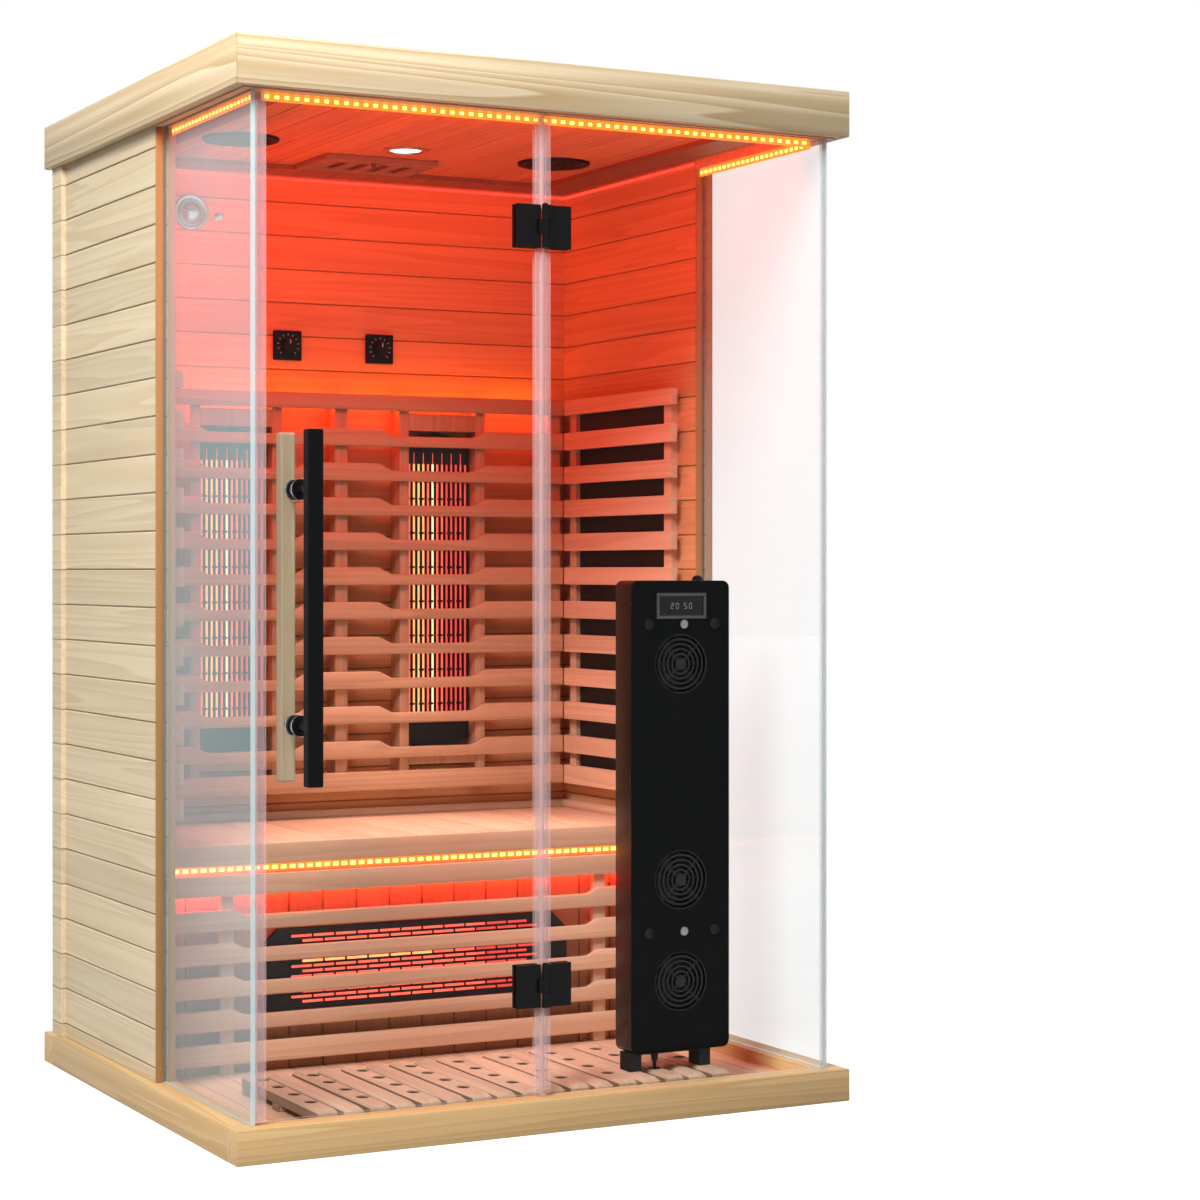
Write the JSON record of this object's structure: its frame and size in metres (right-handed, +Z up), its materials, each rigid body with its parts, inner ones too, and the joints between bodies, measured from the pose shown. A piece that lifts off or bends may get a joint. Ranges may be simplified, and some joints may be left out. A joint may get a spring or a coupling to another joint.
{
  "type": "infrared sauna cabin",
  "caption": "Boarded softwood infrared sauna cabin with clear glass front and sides, hinged glass door, slatted bench, wall heaters and a free-standing red-light panel.",
  "frame": {"origin": "middle of the base's underside, on the floor", "axes": "+Z up, the glass front faces -Y, +X to the right seen from the front"},
  "size_m": [1.22, 1.171, 1.9],
  "materials": {
    "oak_wood": "satin golden softwood",
    "inner_wood": "bare warm softwood",
    "pale_wood": "bare pale softwood",
    "plywood": "plain plywood",
    "black_plastic": "matte black",
    "steel": "bright steel",
    "clear_glass": "clear toughened glass",
    "seal": "translucent grey",
    "black_metal": "satin black",
    "heater_black": "matte carbon black",
    "led_red": "red lamp field",
    "rubber": "matte black"
  },
  "bodies": {
    "cabin": {"base_tray": "oak_wood", "floor_panel": "inner_wood", "duckboard": "inner_wood", "ceiling_panel": "inner_wood", "canopy_header": "inner_wood", "vent_frame": "inner_wood", "bench_seat": "inner_wood", "bench_kickboard": "inner_wood", "bench_guard": "inner_wood", "backrest_guard": "inner_wood", "left_side_guard": "inner_wood", "right_side_guard": "inner_wood", "left_wall": "pale_wood", "right_wall": "pale_wood", "back_wall": "pale_wood", "roof_fascia": "pale_wood", "roof_cover": "plywood", "power_box": "black_plastic", "left_speaker": "black_plastic", "right_speaker": "black_plastic", "left_dial_plate": "black_plastic", "right_dial_plate": "black_plastic", "downlight": "steel", "wall_lamp": "steel", "left_glass": "clear_glass", "right_glass": "clear_glass", "front_glass": "clear_glass", "gap_seal": "seal", "corner_profile": "seal", "upper_hinge_fixed_leaf": "black_metal", "upper_hinge_pin": "black_metal", "lower_hinge_fixed_leaf": "black_metal", "lower_hinge_pin": "black_metal", "panel_case": "black_metal", "panel_cover": "black_metal", "bench_heater": "heater_black", "left_back_heater": "heater_black", "right_back_heater": "heater_black", "left_side_heater": "heater_black", "right_side_heater": "heater_black", "panel_led_plate": "led_red", "panel_stand": "rubber", "panel_lead": "rubber"},
    "door": {"door_glass": "clear_glass", "door_seal": "seal", "upper_hinge_door_leaf": "black_metal", "lower_hinge_door_leaf": "black_metal", "outer_handle": "black_metal", "inner_handle": "pale_wood", "upper_handle_stud": "black_metal", "lower_handle_stud": "black_metal"},
    "dial_left": {"left_dial_knob": "black_plastic"},
    "dial_right": {"right_dial_knob": "black_plastic"},
    "vent_shutter": {"vent_slider": "inner_wood"},
    "fan_upper": {"panel_fan_upper": "black_plastic"},
    "fan_middle": {"panel_fan_middle": "black_plastic"},
    "fan_lower": {"panel_fan_lower": "black_plastic"},
    "button_upper": {"panel_button_upper": "steel"},
    "button_lower": {"panel_button_lower": "steel"}
  },
  "joints": [
    {"name": "door_swing", "type": "hinge", "parent": "cabin", "child": "door", "pos_m": [-0.0225, -0.541, 0.935], "axis": [0, 0, 1], "range_deg": [0, 115]},
    {"name": "left_dial_turn", "type": "hinge", "parent": "cabin", "child": "dial_left", "pos_m": [-0.105, 0.49, 1.472], "axis": [0, -1, 0], "range_deg": [-135, 135]},
    {"name": "right_dial_turn", "type": "hinge", "parent": "cabin", "child": "dial_right", "pos_m": [0.105, 0.49, 1.472], "axis": [0, -1, 0], "range_deg": [-135, 135]},
    {"name": "vent_slide", "type": "slide", "parent": "cabin", "child": "vent_shutter", "axis": [1, 0, 0], "range_m": [0, 0.023]},
    {"name": "fan_upper_spin", "type": "hinge", "parent": "cabin", "child": "fan_upper", "pos_m": [0.3015, -0.447, 0.8246], "axis": [0, 1, 0], "continuous": true},
    {"name": "fan_middle_spin", "type": "hinge", "parent": "cabin", "child": "fan_middle", "pos_m": [0.3015, -0.447, 0.4226], "axis": [0, 1, 0], "continuous": true},
    {"name": "fan_lower_spin", "type": "hinge", "parent": "cabin", "child": "fan_lower", "pos_m": [0.3015, -0.447, 0.2336], "axis": [0, 1, 0], "continuous": true},
    {"name": "button_upper_press", "type": "slide", "parent": "cabin", "child": "button_upper", "axis": [0, 1, 0], "range_m": [0, 0.0015], "stiffness_N_per_m": 800},
    {"name": "button_lower_press", "type": "slide", "parent": "cabin", "child": "button_lower", "axis": [0, 1, 0], "range_m": [0, 0.0015], "stiffness_N_per_m": 800}
  ]
}
